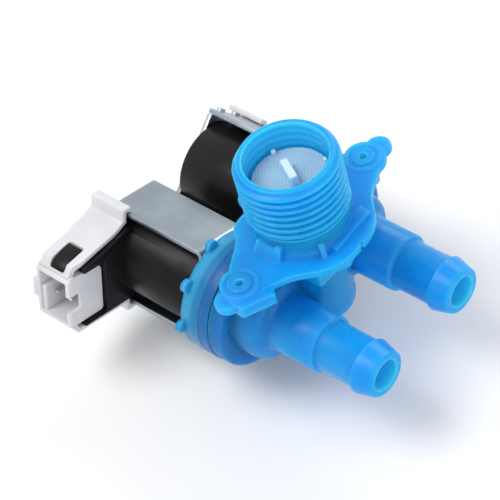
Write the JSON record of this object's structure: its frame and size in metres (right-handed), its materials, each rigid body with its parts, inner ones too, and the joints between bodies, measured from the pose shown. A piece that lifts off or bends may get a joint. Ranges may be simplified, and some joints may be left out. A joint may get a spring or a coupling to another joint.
{
  "type": "washing machine inlet valve",
  "caption": "Moulded water inlet valve with a threaded inlet, screw flange, barbed hose outlets and clip-on solenoid coils in bent yokes.",
  "frame": {"origin": "on the inlet axis, in the plane of the two screw bosses' faces", "axes": "+Z along the inlet axis, out of the inlet; +X the way both hose outlets point; +Y from the front valve to the rear one"},
  "size_m": [0.0936, 0.0895, 0.072],
  "materials": {
    "body_blue": "translucent moulded",
    "bonnet_teal": "translucent moulded",
    "rubber": "matte",
    "coil_black": "satin moulded",
    "zinc_plate": "zinc plated",
    "armature_steel": "ground",
    "copper_wire": "enamelled copper wire",
    "tinned_brass": "tinned",
    "connector_white": "moulded",
    "bobbin_grey": "moulded",
    "filter_pale": "translucent moulded",
    "filter_mesh": "woven strainer",
    "holder_white": "moulded"
  },
  "bodies": {
    "valve": {"valve_body": "body_blue", "inlet_filter_frame": "filter_pale", "inlet_filter_mesh": "filter_mesh", "regulator_holder": "holder_white", "regulator_washer": "rubber", "front_bonnet": "bonnet_teal", "front_diaphragm": "rubber", "front_armature_spring": "armature_steel", "front_flux_sleeve": "zinc_plate", "front_coil_bobbin": "bobbin_grey", "front_coil_winding": "copper_wire", "front_coil_housing": "coil_black", "front_yoke_frame": "zinc_plate", "front_yoke_side_plate": "zinc_plate", "front_connector": "connector_white", "front_terminal_1": "tinned_brass", "front_terminal_2": "tinned_brass", "rear_bonnet": "bonnet_teal", "rear_diaphragm": "rubber", "rear_armature_spring": "armature_steel", "rear_flux_sleeve": "zinc_plate", "rear_coil_bobbin": "bobbin_grey", "rear_coil_winding": "copper_wire", "rear_coil_housing": "coil_black", "rear_yoke_frame": "zinc_plate", "rear_yoke_side_plate": "zinc_plate", "rear_connector": "connector_white", "rear_terminal_1": "tinned_brass", "rear_terminal_2": "tinned_brass"},
    "front_armature": {"front_armature": "armature_steel", "front_armature_tip": "rubber"},
    "front_insert": {"front_diaphragm_insert": "holder_white"},
    "rear_armature": {"rear_armature": "armature_steel", "rear_armature_tip": "rubber"},
    "rear_insert": {"rear_diaphragm_insert": "holder_white"}
  },
  "joints": [
    {"name": "front_armature_slide", "type": "slide", "parent": "valve", "child": "front_armature", "axis": [-1, 0, 0], "range_m": [0, 0.003], "stiffness_N_per_m": 150, "springref_m": -0.004, "deforming": ["front_armature_spring"]},
    {"name": "front_diaphragm_lift", "type": "slide", "parent": "valve", "child": "front_insert", "axis": [-1, 0, 0], "range_m": [0, 0.002], "deforming": ["front_diaphragm"]},
    {"name": "rear_armature_slide", "type": "slide", "parent": "valve", "child": "rear_armature", "axis": [-1, 0, 0], "range_m": [0, 0.003], "stiffness_N_per_m": 150, "springref_m": -0.004, "deforming": ["rear_armature_spring"]},
    {"name": "rear_diaphragm_lift", "type": "slide", "parent": "valve", "child": "rear_insert", "axis": [-1, 0, 0], "range_m": [0, 0.002], "deforming": ["rear_diaphragm"]}
  ],
  "couplings": [
    {"joint": "front_diaphragm_lift", "follows": "front_armature_slide", "ratio": 0.66},
    {"joint": "rear_diaphragm_lift", "follows": "rear_armature_slide", "ratio": 0.66}
  ]
}
